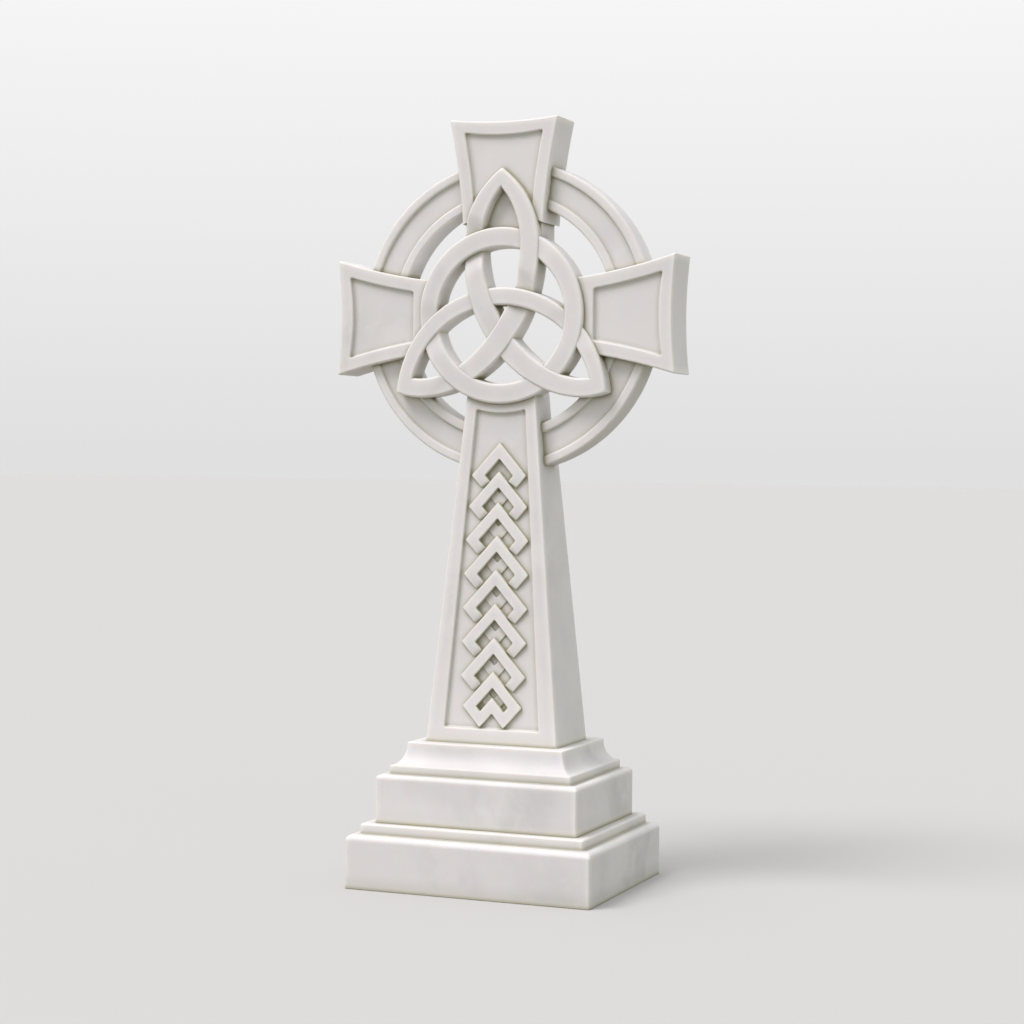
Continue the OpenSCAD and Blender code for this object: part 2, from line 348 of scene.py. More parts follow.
def drop_slivers(piece: bpy.types.Object) -> bpy.types.Object:
    """Take out faces without area, unless that would open the piece."""
    work = bmesh.new()
    work.from_mesh(piece.data)
    bmesh.ops.dissolve_degenerate(work, edges=work.edges, dist=SLIVER * MM)
    if all(len(edge.link_faces) == 2 for edge in work.edges):
        work.to_mesh(piece.data)
    else:
        log.info("%s keeps its slivers", piece.name)
    work.free()
    return piece


def combine(base: bpy.types.Object, tool: bpy.types.Object, operation: Operation) -> bpy.types.Object:
    """Unite or cut a piece with another, which is used up.

    Args:
        base: The piece that is kept.
        tool: The piece that is added or taken away.
        operation: Which of the two.

    Returns:
        The base piece.
    """
    into_triangles(base)
    into_triangles(tool)
    modifier = base.modifiers.new("combine", "BOOLEAN")
    modifier.operation = operation.value
    modifier.solver = "MANIFOLD"
    modifier.object = tool
    settle(base)
    bpy.data.objects.remove(tool)
    return drop_slivers(base)


def unite_all(base: bpy.types.Object, parts: list[bpy.types.Object]) -> None:
    """Unite a piece with others, one by one."""
    for part in parts:
        log.info("unite %s: %d faces", part.name, len(part.data.polygons))
        combine(base, part, Operation.UNITE)


def slab(name: str, outline: Outline, front: float, back: float) -> bpy.types.Object:
    """Make an upright slab from an outline in the X-Z plane.

    Args:
        name: Name of the object.
        outline: Corners as (x, z) in millimetres.
        front: Y of the front face.
        back: Y of the back face.

    Returns:
        The slab.
    """
    return stacked(name, [[(x, y, z) for x, z in outline] for y in (front, back)])


def disc(name: str, radius: float, centre_z: float, front: float, back: float) -> bpy.types.Object:
    """Make a round upright disc about the middle of the head, as a cutting tool."""
    return slab(name, circle(radius, DISC_STEPS, centre_z), front, back)


def framed_slab(
    name: str,
    outer: Outline,
    inner: Outline,
    front: Callable[[float], float],
    back: Callable[[float], float],
    sink: float,
) -> bpy.types.Object:
    """Make an upright slab with one sunk panel in its front.

    Args:
        name: Name of the object.
        outer: Corners of the slab as (x, z) in millimetres.
        inner: Corners of the panel, as many as the slab has.
        front: Y of the front face at a height.
        back: Y of the back face at a height.
        sink: Depth of the panel.

    Returns:
        The slab.
    """
    count = len(outer)
    vertices = [(x, front(z), z) for x, z in outer]
    vertices += [(x, front(z), z) for x, z in inner]
    vertices += [(x, front(z) + sink, z) for x, z in inner]
    vertices += [(x, back(z), z) for x, z in outer]
    faces = [[2 * count + i for i in range(count)], [3 * count + i for i in range(count)]]
    for i in range(count):
        k = (i + 1) % count
        faces.append([i, k, count + k, count + i])
        faces.append([count + i, count + k, 2 * count + k, 2 * count + i])
        faces.append([i, k, 3 * count + k, 3 * count + i])
    return new_piece(name, vertices, faces)


def shade_soft(piece: bpy.types.Object, angle: float = 35.0) -> None:
    """Shade a finished piece smoothly, with flat faces kept flat.

    Args:
        piece: The finished piece.
        angle: Least turn in degrees at an edge that stays crisp.
    """
    mesh = into_triangles(piece).data
    mesh.polygons.foreach_set("use_smooth", [True] * len(mesh.polygons))
    mesh.set_sharp_from_angle(angle=math.radians(angle))
    weighted = piece.modifiers.new("weighted", "WEIGHTED_NORMAL")
    weighted.keep_sharp = True
    weighted.weight = 100
    settle(piece)


def loose_parts(piece: bpy.types.Object) -> list[bpy.types.Object]:
    """Split a piece into one object for each part that hangs together.

    Args:
        piece: The piece, which is used up.

    Returns:
        The parts.
    """
    whole = bmesh.new()
    whole.from_mesh(piece.data)
    waiting, groups = set(whole.verts), []
    while waiting:
        front, group = [waiting.pop()], set()
        while front:
            vertex = front.pop()
            group.add(vertex)
            near = {edge.other_vert(vertex) for edge in vertex.link_edges} & waiting
            waiting -= near
            front += near
        groups.append({vertex.index for vertex in group})
    whole.free()
    parts = []
    for number, group in enumerate(sorted(groups, key=min)):
        part = bmesh.new()
        part.from_mesh(piece.data)
        bmesh.ops.delete(part, geom=[v for v in part.verts if v.index not in group], context="VERTS")
        mesh = bpy.data.meshes.new(f"{piece.name}_{number}")
        part.to_mesh(mesh)
        part.free()
        parts.append(show(mesh))
    bpy.data.objects.remove(piece)
    return parts


# ----------------------------------------------------------------- node trees


class Graph:
    """A node tree and short ways to add to it."""

    def __init__(self, tree: bpy.types.NodeTree) -> None:
        """Start work on a tree."""
        self.tree = tree

    def node(self, kind: str, **settings: object) -> bpy.types.Node:
        """Add a node and set its properties."""
        made = self.tree.nodes.new(kind)
        for key, value in settings.items():
            setattr(made, key, value)
        return made

    def link(self, start: Socket, end: Socket) -> None:
        """Join an output to an input."""
        self.tree.links.new(start, end)

    def feed(self, socket: Socket, value: object) -> None:
        """Give an input another node's output or a plain value."""
        if isinstance(value, Socket):
            self.link(value, socket)
        else:
            socket.default_value = value

    def put(self, kind: str, inputs: dict, output: int | str = 0, **settings: object) -> Socket:
        """Add a node and feed it.

        Args:
            kind: Kind of node.
            inputs: Inputs by name or number, each with another node's output or a plain value.
            output: Which output is wanted.
            settings: Properties of the node.

        Returns:
            That output.
        """
        made = self.node(kind, **settings)
        for key, value in inputs.items():
            self.feed(made.inputs[key], value)
        return made.outputs[output]

    def maths(self, operation: str, a: object, b: object = 0.0, clamp: bool = False) -> Socket:
        """Add one sum of sockets or numbers, with its result kept between 0 and 1 if clamped."""
        return self.put("ShaderNodeMath", {0: a, 1: b}, operation=operation, use_clamp=clamp)


class Tree(Graph):
    """A geometry node tree with named inputs, applied to one object."""

    def __init__(self, name: str, inputs: dict[str, str]) -> None:
        """Start a tree that takes and gives geometry.

        Args:
            name: Name of the tree.
            inputs: Each further input and its socket kind; a material is always one.
        """
        super().__init__(bpy.data.node_groups.new(name, "GeometryNodeTree"))
        kinds = {"Geometry": "NodeSocketGeometry", **inputs, "Material": "NodeSocketMaterial"}
        new_socket = self.tree.interface.new_socket
        new_socket("Geometry", in_out="OUTPUT", socket_type="NodeSocketGeometry")
        self.ids = {
            key: new_socket(key, in_out="INPUT", socket_type=kind).identifier for key, kind in kinds.items()
        }
        self.source = self.node("NodeGroupInput").outputs
        self.sink = self.node("NodeGroupOutput").inputs["Geometry"]

    def read(self, name: str, kind: str) -> Socket:
        """Read a named attribute of one kind."""
        return self.put("GeometryNodeInputNamedAttribute", {"Name": name}, "Attribute", data_type=kind)

    def finish(self, geometry: Socket) -> "Tree":
        """End the tree in real geometry with its material, and return it."""
        real = self.put("GeometryNodeRealizeInstances", {"Geometry": geometry})
        dress = {"Geometry": real, "Material": self.source["Material"]}
        self.link(self.put("GeometryNodeSetMaterial", dress), self.sink)
        return self

    def apply(self, piece: bpy.types.Object, values: dict[str, object]) -> bpy.types.Object:
        """Run the tree on a piece and keep the plain mesh.

        Args:
            piece: Object that the tree starts from.
            values: A value for each named input.

        Returns:
            The piece.
        """
        modifier = piece.modifiers.new(self.tree.name, "NODES")
        modifier.node_group = self.tree
        for name, value in values.items():
            modifier[self.ids[name]] = value
        return settle(piece)


def turned_ring_tree() -> Tree:
    """Build the tree that sweeps a section round a circle that stands upright."""
    inputs = {"Radius": "NodeSocketFloat", "Segments": "NodeSocketInt", "Centre Height": "NodeSocketFloat"}
    tree = Tree("turned_ring", inputs)
    given = tree.source
    circle_inputs = {"Resolution": given["Segments"], "Radius": given["Radius"]}
    path = tree.put("GeometryNodeCurvePrimitiveCircle", circle_inputs, mode="RADIUS")
    section = tree.put("GeometryNodeMeshToCurve", {"Mesh": given["Geometry"]})
    sweep = tree.put("GeometryNodeCurveToMesh", {"Curve": path, "Profile Curve": section})
    place = tree.put("ShaderNodeCombineXYZ", {"Z": given["Centre Height"]})
    stand = {"Geometry": sweep, "Translation": place, "Rotation": (math.pi / 2.0, 0.0, 0.0)}
    return tree.finish(tree.put("GeometryNodeTransform", stand))


def link_tree() -> Tree:
    """Build the tree that puts one link at each point and gives it its size.

    The points carry "place" and "half", a link's top point and half width. The
    link's own points carry "spoke", a direction from its middle, "inset", the
    upright distance in from its outer edge, and "lift", the height above the panel.

    Returns:
        The tree.
    """
    tree = Tree("chain_of_links", {"Link": "NodeSocketObject", "Slope": "NodeSocketFloat"})
    points, slope = tree.source["Geometry"], tree.source["Slope"]
    shape = tree.put("GeometryNodeObjectInfo", {"Object": tree.source["Link"]}, "Geometry")
    copies = tree.put("GeometryNodeInstanceOnPoints", {"Points": points, "Instance": shape})
    real = tree.put("GeometryNodeRealizeInstances", {"Geometry": copies})

    spoke, place = (
        tree.put("ShaderNodeSeparateXYZ", {"Vector": tree.read(name, "FLOAT_VECTOR")}).node.outputs
        for name in ("spoke", "place")
    )
    half, inset, lift = (tree.read(name, "FLOAT") for name in ("half", "inset", "lift"))
    high = tree.maths("MULTIPLY", half, slope)
    across = tree.maths("SUBTRACT", half, tree.maths("DIVIDE", inset, slope))
    x = tree.maths("MULTIPLY", spoke["X"], across)
    up = tree.maths("MULTIPLY", spoke["Y"], tree.maths("SUBTRACT", high, inset))
    middle = tree.maths("SUBTRACT", place["Y"], high)
    spot = tree.put("ShaderNodeCombineXYZ", {"X": x, "Y": tree.maths("ADD", up, middle), "Z": lift})
    return tree.finish(tree.put("GeometryNodeSetPosition", {"Geometry": real, "Position": spot}))


# ------------------------------------------------------------------- finishes


class ShaderGraph(Graph):
    """A shader tree."""

    def vector(self, operation: str, *values: object) -> Socket:
        """Add one vector sum of sockets or triples of numbers."""
        return self.put("ShaderNodeVectorMath", dict(enumerate(values)), operation=operation)

    def noise(
        self, place: Socket, scale: object, detail: float, roughness: float = 0.5, output: str = "Fac"
    ) -> Socket:
        """Add a noise.

        Args:
            place: Where it is read.
            scale: Socket or number.
            detail: How many finer layers it has.
            roughness: How much the finer layers show.
            output: Which output is wanted.

        Returns:
            That output.
        """
        values = {"Vector": place, "Scale": scale, "Detail": detail, "Roughness": roughness}
        return self.put("ShaderNodeTexNoise", values, output)

    def spread(self, value: Socket, start: Point, end: Point, kind: str = "LINEAR") -> Socket:
        """Map a value from one range to another, kept inside the second.

        Args:
            value: The value.
            start: The range that it has.
            end: The range that it gets.
            kind: How it runs in between.

        Returns:
            The socket that gives the result.
        """
        names = ("Value", "From Min", "From Max", "To Min", "To Max")
        inputs = dict(zip(names, (value, *start, *end)))
        return self.put("ShaderNodeMapRange", inputs, interpolation_type=kind)

    def blend(self, share: Socket, first: object, second: Colour) -> Socket:
        """Blend a colour, or a socket that gives one, towards a second colour."""
        start = first if isinstance(first, Socket) else (*first, 1.0)
        inputs = {MIX_SHARE: share, MIX_FIRST: start, MIX_SECOND: (*second, 1.0)}
        return self.put("ShaderNodeMix", inputs, MIX_RESULT, data_type="RGBA")

    def group(self, name: str, make: Callable[[str], bpy.types.NodeTree], **values: float) -> Socket:
        """Place a shared group, built the first time it is used.

        Args:
            name: Name of the group.
            make: Function that builds it under its name.
            values: A number for each of its inputs.

        Returns:
            The group's output.
        """
        tree = bpy.data.node_groups.get(name) or make(name)
        return self.put("ShaderNodeGroup", values, node_tree=tree)


class ShaderGroup(ShaderGraph):
    """A shader group with number inputs and one output."""

    def __init__(self, name: str, inputs: dict[str, float], output: str) -> None:
        """Start a group.

        Args:
            name: Name of the group.
            inputs: Each input and its first value.
            output: Name of the output.
        """
        super().__init__(bpy.data.node_groups.new(name, "ShaderNodeTree"))
        for key, value in inputs.items():
            socket = self.tree.interface.new_socket(key, in_out="INPUT", socket_type="NodeSocketFloat")
            socket.default_value = value
        self.tree.interface.new_socket(output, in_out="OUTPUT", socket_type="NodeSocketFloat")
        self.source = self.node("NodeGroupInput").outputs
        self.sink = self.node("NodeGroupOutput").inputs[output]

    def place(self) -> Socket:
        """Return the object coordinates."""
        return self.put("ShaderNodeTexCoord", {}, "Object")

    def finish(self, result: Socket) -> bpy.types.NodeTree:
        """Give the result and return the group's tree."""
        self.link(result, self.sink)
        return self.tree


def cloud_group(name: str) -> bpy.types.NodeTree:
    """Build the group that gives soft grey clouds and a few faint veins.

    Args:
        name: Name of the group.

    Returns:
        A group with inputs Scale and Seed and an output Mask from 0 to 1.
    """
    group = ShaderGroup(name, {"Scale": 3.0, "Seed": 0.0}, "Mask")
    push, vein_width, patch_range = (0.35, 0.35, 0.35), 0.11, (0.42, 0.68)
    shifted = group.vector("ADD", group.place(), group.source["Seed"])
    warp = group.noise(shifted, scale=2.3, detail=3.0, output="Color")
    warped = group.vector("MULTIPLY_ADD", warp, push, shifted)
    cloud = group.noise(warped, scale=group.source["Scale"], detail=6.0, roughness=0.62)
    from_middle = group.maths("ABSOLUTE", group.maths("SUBTRACT", cloud, 0.5))
    vein = group.spread(from_middle, (0.0, vein_width), (1.0, 0.0), "SMOOTHSTEP")
    patch = group.noise(shifted, scale=4.0, detail=2.0)
    where = group.spread(patch, patch_range, (0.0, 1.0))
    return group.finish(group.maths("MULTIPLY", vein, where))


def closeness_group(name: str, inside: bool, samples: int) -> bpy.types.NodeTree:
    """Build a group that finds where the stone closes in on itself.

    Args:
        name: Name of the group.
        inside: Look through the stone, to find its edges, and not over it, to find its hollows.
        samples: How many directions are tried.

    Returns:
        A group with inputs Reach, in metres, and Gain, and an output Mask.
    """
    group = ShaderGroup(name, {"Reach": 0.03, "Gain": 1.0}, "Mask")
    reach = {"Distance": group.source["Reach"]}
    open_share = group.put("ShaderNodeAmbientOcclusion", reach, "AO", samples=samples, inside=inside)
    closed = group.maths("SUBTRACT", 1.0, open_share)
    return group.finish(group.maths("MULTIPLY", closed, group.source["Gain"], clamp=True))


def painted_shade_group(name: str) -> bpy.types.NodeTree:
    """Build the group that finds hollows, where a greenish painted shade is laid on the stone's colour."""
    return closeness_group(name, inside=False, samples=8)


def painted_highlight_group(name: str) -> bpy.types.NodeTree:
    """Build the group that finds edges, where a pale painted highlight is laid on the stone's colour."""
    return closeness_group(name, inside=True, samples=6)


def grain_group(name: str) -> bpy.types.NodeTree:
    """Build the group that gives the honed surface its height.

    Args:
        name: Name of the group.

    Returns:
        A group with inputs Grain and Wave, in metres of height, and an output Height.
    """
    group = ShaderGroup(name, {"Grain": 0.00004, "Wave": 0.0003}, "Height")
    place = group.place()
    grain = group.maths("MULTIPLY", group.noise(place, scale=420.0, detail=4.0), group.source["Grain"])
    wave = group.maths("MULTIPLY", group.noise(place, scale=22.0, detail=2.0), group.source["Wave"])
    return group.finish(group.maths("ADD", grain, wave))


@dataclass(frozen=True)
class Marble:
    """One finish of white marble, with painted shade in its hollows and creases and painted highlights on its
    edges.
    """

    name: str
    colour: Colour = (0.836, 0.822, 0.832)
    cloud: Colour = (0.60, 0.60, 0.615)
    # Greenish painted shade: the colour that hollows and creases are darkened towards.
    hollow: Colour = (0.40, 0.385, 0.26)
    # Pale painted highlight: the colour that edges are lightened towards.
    rubbed: Colour = (0.96, 0.945, 0.925)
    cloud_scale: float = 3.0
    cloud_seed: float = 0.0
    cloud_share: float = 0.5
    # Reach and gain of the painted shade, broad in hollows and close in creases.
    painted_shade_reach: float = 0.035
    painted_shade_gain: float = 0.65
    painted_crease_shade_reach: float = 0.012
    painted_crease_shade_gain: float = 1.9
    # Reach and gain of the painted edge highlight.
    painted_highlight_reach: float = 0.015
    painted_highlight_gain: float = 1.5
    specular: float = 0.35
    refraction: float = 1.486
    glow: float = 0.35
    glow_colour: Colour = (1.0, 0.72, 0.45)
    glow_depth: float = 0.006
    roughness: float = 0.5
    cloud_roughness: float = 0.62
    grain: float = 0.00003
    wave: float = 0.0002

    def build(self) -> bpy.types.Material:
        """Build the material.

        Returns:
            The material, patterned on object coordinates.
        """
        material = bpy.data.materials.new(self.name)
        material.use_nodes = True
        graph = ShaderGraph(material.node_tree)
        surface = material.node_tree.nodes["Principled BSDF"]

        clouds = graph.group("marble_clouds", cloud_group, Scale=self.cloud_scale, Seed=self.cloud_seed)
        veined = graph.blend(graph.maths("MULTIPLY", clouds, self.cloud_share), self.colour, self.cloud)
        # Painted highlight: edges are lightened towards a paler colour.
        edges = graph.group("rubbed_edges", painted_highlight_group, Reach=self.painted_highlight_reach, Gain=self.painted_highlight_gain)
        rubbed = graph.blend(edges, veined, self.rubbed)
        # Painted shade: hollows and creases are darkened towards a greenish colour.
        hollows, creases = (
            graph.group("stone_hollows", painted_shade_group, Reach=reach, Gain=gain)
            for reach, gain in ((self.painted_shade_reach, self.painted_shade_gain), (self.painted_crease_shade_reach, self.painted_crease_shade_gain))
        )
        shaded = graph.blend(graph.maths("MAXIMUM", hollows, creases), rubbed, self.hollow)
        rough = graph.spread(clouds, (0.0, 1.0), (self.roughness, self.cloud_roughness))
        height = graph.group("honed_grain", grain_group, Grain=self.grain, Wave=self.wave)
        bump = graph.put("ShaderNodeBump", {"Height": height, "Strength": 1.0, "Distance": 1.0})

        values = {
            "Base Color": shaded,
            "Roughness": rough,
            "Normal": bump,
            "Specular IOR Level": self.specular,
            "IOR": self.refraction,
            "Subsurface Weight": self.glow,
            "Subsurface Radius": self.glow_colour,
            "Subsurface Scale": self.glow_depth,
        }
        for name, value in values.items():
            graph.feed(surface.inputs[name], value)
        return material


CARVED = Marble("carved_marble", cloud_share=0.35)
COURSES = Marble(
    "plinth_marble",
    colour=(0.838, 0.826, 0.84),
    cloud_scale=2.4,
    cloud_seed=7.3,
    cloud_share=0.8,
)


def deliver(piece: bpy.types.Object, finish: bpy.types.Material, node: str) -> None:
    """Dress a finished stone and set it in the frame.

    Args:
        piece: The stone.
        finish: Its material.
        node: Construction node that it stands for.
    """
    piece.data.materials.clear()
    piece.data.materials.append(finish)
    shade_soft(piece)
    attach(piece, BODY)
    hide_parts(node)
    log.info("%s: %d faces", piece.name, len(piece.data.polygons))


# -------------------------------------------------------------------- plinths


@dataclass
class Course:
    """One plinth course: rectangular mouldings stacked into one stone.

    The section runs from the foot upwards, as (inset from the foot, z, rounding).
    """

    name: str
    half_x: float
    half_y: float
    section: list[tuple[float, float, float]]
    corner: float
    steps: int = 5

    def ring(self, inset: float, z: float) -> list[tuple[float, float, float]]:
        """Return the outline of the stone at one level.

        Args:
            inset: How far the outline is drawn in from the foot.
            z: The level.

        Returns:
            Points round the outline, its corners rounded.
        """
        hx, hy = self.half_x - inset, self.half_y - inset
        corners = [(hx, hy), (-hx, hy), (-hx, -hy), (hx, -hy)]
        outline = fillet([(x, y, self.corner) for x, y in corners], self.steps)
        return [(x, y, z) for x, y in outline]

    def build(self) -> bpy.types.Object:
        """Build the stone from its section.

        Returns:
            The closed stone.
        """
        return stacked(self.name, [self.ring(inset, z) for inset, z in fillet(self.section, self.steps)])


def lower_course() -> Course:
    """Describe the lower course: a block and a thin step."""
    _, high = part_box("lower_plinth")
    half_x, half_y, top = high.x / MM, high.y / MM, high.z / MM
    step_in, step_h = 22.0, 20.0
    bevel, shoulder, root, lip = 1.0, 12.0, 1.5, 4.0
    section = [
        (bevel, 0.0, 0.0),
        (0.0, bevel, 0.0),
        (0.0, top - step_h, shoulder),
        (step_in, top - step_h, root),
        (step_in, top, lip),
        (step_in + TOP_BAND, top, 0.0),
    ]
    return Course("lower_plinth_stone", half_x, half_y, section, corner=5.0)


def upper_course() -> Course:
    """Describe the upper course: a block, a thin step, a cove and its cap."""
    low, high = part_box("upper_plinth")
    half_x, half_y, bottom, top = high.x / MM, high.y / MM, low.z / MM, high.z / MM
    block_h, step_in, step_h = 94.0, 20.0, 17.0
    bevel, shoulder, root, lip = 0.5, 9.0, 1.5, 3.0
    cove_in, cap_h, cap_lip, steps = 26.0, 4.0, 2.5, 14
    foot_share, foot_rise = 0.93, 0.4
    block_z = bottom + block_h
    step_z = block_z + step_h
    cove_h = top - cap_h - step_z
    cove_out = step_in + cove_in
    angles = [math.pi / 2.0 * i / steps for i in range(1, steps)]
    cove = [
        (cove_out - cove_in * (1.0 - math.sin(a)), step_z + cove_h * (1.0 - math.cos(a)), 0.0)
        for a in angles
    ]
    section = [
        (bevel, bottom, 0.0),
        (0.0, bottom + bevel, 0.0),
        (0.0, block_z, shoulder),
        (step_in, block_z, root),
        (step_in, step_z, lip),
        (cove_out - cove_in * foot_share, step_z + foot_rise, 0.0),
        *cove,
        (cove_out, top - cap_h, 0.0),
        (cove_out, top, cap_lip),
        (cove_out + TOP_BAND, top, 0.0),
    ]
    return Course("upper_plinth_stone", half_x, half_y, section, corner=4.0)


# ---------------------------------------------------------------------- cross


@dataclass
class Head:
    """Sizes that the parts of the head share, in millimetres."""

    centre_z: float
    top_z: float
    reach: float
    half_depth: float = 47.0
    ring_outer: float = 304.0
    ring_inner: float = 223.0
    ring_half: float = 30.0
    hub_step: float = 198.0
    circle_outer: float = 172.0
    circle_inner: float = 133.0
    panel_sink: float = 7.0

    @property
    def front(self) -> float:
        """Y of the arms' front faces."""
        return -self.half_depth

    @property
    def ground(self) -> float:
        """Y of the arms' sunk panels."""
        return self.front + self.panel_sink


@dataclass
class Shaft:
    """The tapering shaft with its sunk panel."""

    head: Head
    foot_z: float
    foot_x: float
    foot_y: float
    neck_x: float = 74.0
    top_below: float = 147.0
    border_foot: float = 37.0
    border_top: float = 24.0
    border_low: float = 30.0
    panel_top: float = 190.0
    edge: float = 4.2
    surplus: float = 10.0
    steps: int = 10

    @property
    def rise(self) -> float:
        """Height from the foot to the level of the knot."""
        return self.head.centre_z - self.head.circle_outer - self.foot_z

    def half_x(self, z: float) -> float:
        """Half width of the shaft at a height."""
        return mix(self.foot_x, self.neck_x, (z - self.foot_z) / self.rise)

    def half_y(self, z: float) -> float:
        """Half depth of the shaft at a height."""
        return mix(self.foot_y, self.head.half_depth, (z - self.foot_z) / self.rise)

    def panel_x(self, z: float) -> float:
        """Half width of the sunk panel at a height."""
        share = (z - self.foot_z) / self.rise
        return self.half_x(z) - mix(self.border_foot, self.border_top, share)

    def panel_outline(self) -> Outline:
        """Return the outline of the sunk panel, arched at the top."""
        low = self.foot_z + self.border_low
        cz, r, n = self.head.centre_z, self.panel_top, self.steps
        side = self.panel_x(cz - r)
        corner_z = cz - math.sqrt(r * r - side * side)
        side = self.panel_x(corner_z)
        sweep = math.asin(side / r)
        angles = [mix(sweep, -sweep, i / n) for i in range(n)]
        top = [(r * math.sin(a), cz - r * math.cos(a)) for a in angles]
        foot = self.panel_x(low)
        return [
            *line((-foot, low), (foot, low), n),
            *line((foot, low), (side, corner_z), n),
            *top,
            *line((-side, corner_z), (-foot, low), n),
        ]

    def build(self) -> bpy.types.Object:
        """Build the shaft, its back stepped in line with the ring.

        It is made too long at the foot and then cut, so that its foot edges stay square.

        Returns:
            The shaft.
        """
        bottom, top, n = self.foot_z - self.surplus, self.head.centre_z - self.top_below, self.steps
        foot, neck = self.half_x(bottom), self.half_x(top)
        outer = [
            *line((-foot, bottom), (foot, bottom), n),
            *line((foot, bottom), (neck, top), n),
            *line((neck, top), (-neck, top), n),
            *line((-neck, top), (-foot, bottom), n),
        ]
        piece = framed_slab(
            "shaft",
            outer,
            self.panel_outline(),
            lambda z: -self.half_y(z),
            self.half_y,
            self.head.panel_sink,
        )
        round_edges(piece, self.edge)
        wide, deep, low = self.foot_x + WELL_PAST, self.foot_y + WELL_PAST, bottom - PAST
        below = [(-wide, low), (wide, low), (wide, self.foot_z), (-wide, self.foot_z)]
        combine(piece, slab("below", below, -deep, deep), Operation.CUT)
        head, back = self.head, self.foot_y + PAST
        step = disc("step", head.ring_inner, head.centre_z, head.ring_half, back)
        return combine(piece, step, Operation.CUT)


@dataclass
class Arm:
    """One arm with a sunk panel, made pointing up and then turned."""

    head: Head
    name: str
    degrees: float
    reach: float
    root_half: float
    end_half: float
    low: float
    panel_low: float
    open_below: bool = False
    border: float = 27.0
    sag: float = 4.0
    dip: float = 7.0
    edge: float = 5.2
    steps: int = 12

    def half(self, y: float) -> float:
        """Half width of the arm at a distance from the centre."""
        t = (y - self.head.circle_outer) / (self.reach - self.head.circle_outer)
        return mix(self.root_half, self.end_half, t) - 4.0 * self.sag * t * (1.0 - t)

    def outline(self, low: float, margin: float) -> Outline:
        """Return the arm's outline, or its panel's.

        Args:
            low: Where the outline starts, from the centre.
            margin: How far it is drawn in.

        Returns:
            The outline about the centre, turned to the arm's place.
        """
        n, high = self.steps, self.reach - margin
        right = [(self.half(y) - margin, y) for y in (mix(low, high, i / n) for i in range(n))]
        end = self.half(high) - margin
        top = bow((end, high), (-end, high), self.dip, n)
        left = [(-(self.half(y) - margin), y) for y in (mix(high, low, i / n) for i in range(n))]
        foot = self.half(low) - margin
        bottom = line((-foot, low), (foot, low), n)
        turned = turn([*right, *top, *left, *bottom], self.degrees)
        return [(x, z + self.head.centre_z) for x, z in turned]

    def build(self) -> bpy.types.Object:
        """Build the arm.

        Returns:
            The arm, stepped at the back or open below as the hub needs.
        """
        head = self.head
        piece = framed_slab(
            self.name,
            self.outline(self.low, 0.0),
            self.outline(self.panel_low, self.border),
            lambda z: head.front,
            lambda z: head.half_depth,
            head.panel_sink,
        )
        round_edges(piece, self.edge)
        cut_front = head.front - PAST if self.open_below else head.ring_half
        tool = disc("hub", head.hub_step, head.centre_z, cut_front, head.half_depth + PAST)
        return combine(piece, tool, Operation.CUT)


@dataclass
class Ring:
    """The ring, with two raised rims and a channel on its front."""

    head: Head
    rim: float = 19.0
    rim_sink: float = 6.0
    edge: float = 4.5
    root: float = 1.5
    edge_steps: int = 3
    segments: int = 200

    def build(self, finish: bpy.types.Material) -> bpy.types.Object:
        """Sweep the section round the head.

        Args:
            finish: Material of the ring.

        Returns:
            The ring.
        """
        head = self.head
        middle = (head.ring_outer + head.ring_inner) / 2.0
        wide = (head.ring_outer - head.ring_inner) / 2.0
        thick, floor = head.ring_half, head.ring_half - self.rim_sink
        corners = [
            (wide, thick, self.edge),
            (wide, -thick, self.edge),
            (wide - self.rim, -thick, self.edge),
            (wide - self.rim, -floor, self.root),
            (self.rim - wide, -floor, self.root),
            (self.rim - wide, -thick, self.edge),
            (-wide, -thick, self.edge),
            (-wide, thick, self.edge),
        ]
        section = [(x, y, 0.0) for x, y in fillet(corners, self.edge_steps)]
        count = len(section)
        piece = add_object("ring", section, [(i, (i + 1) % count) for i in range(count)], [])
        values = {
            "Radius": middle * MM,
            "Segments": self.segments,
            "Centre Height": head.centre_z * MM,
            "Material": finish,
        }
        return point_outwards(turned_ring_tree().apply(piece, values))


@dataclass(frozen=True)
class Under:
    """A place where a strand goes under another, how far it sinks and at which stations."""

    place: Point
    sunk: float
    first: int
    last: int


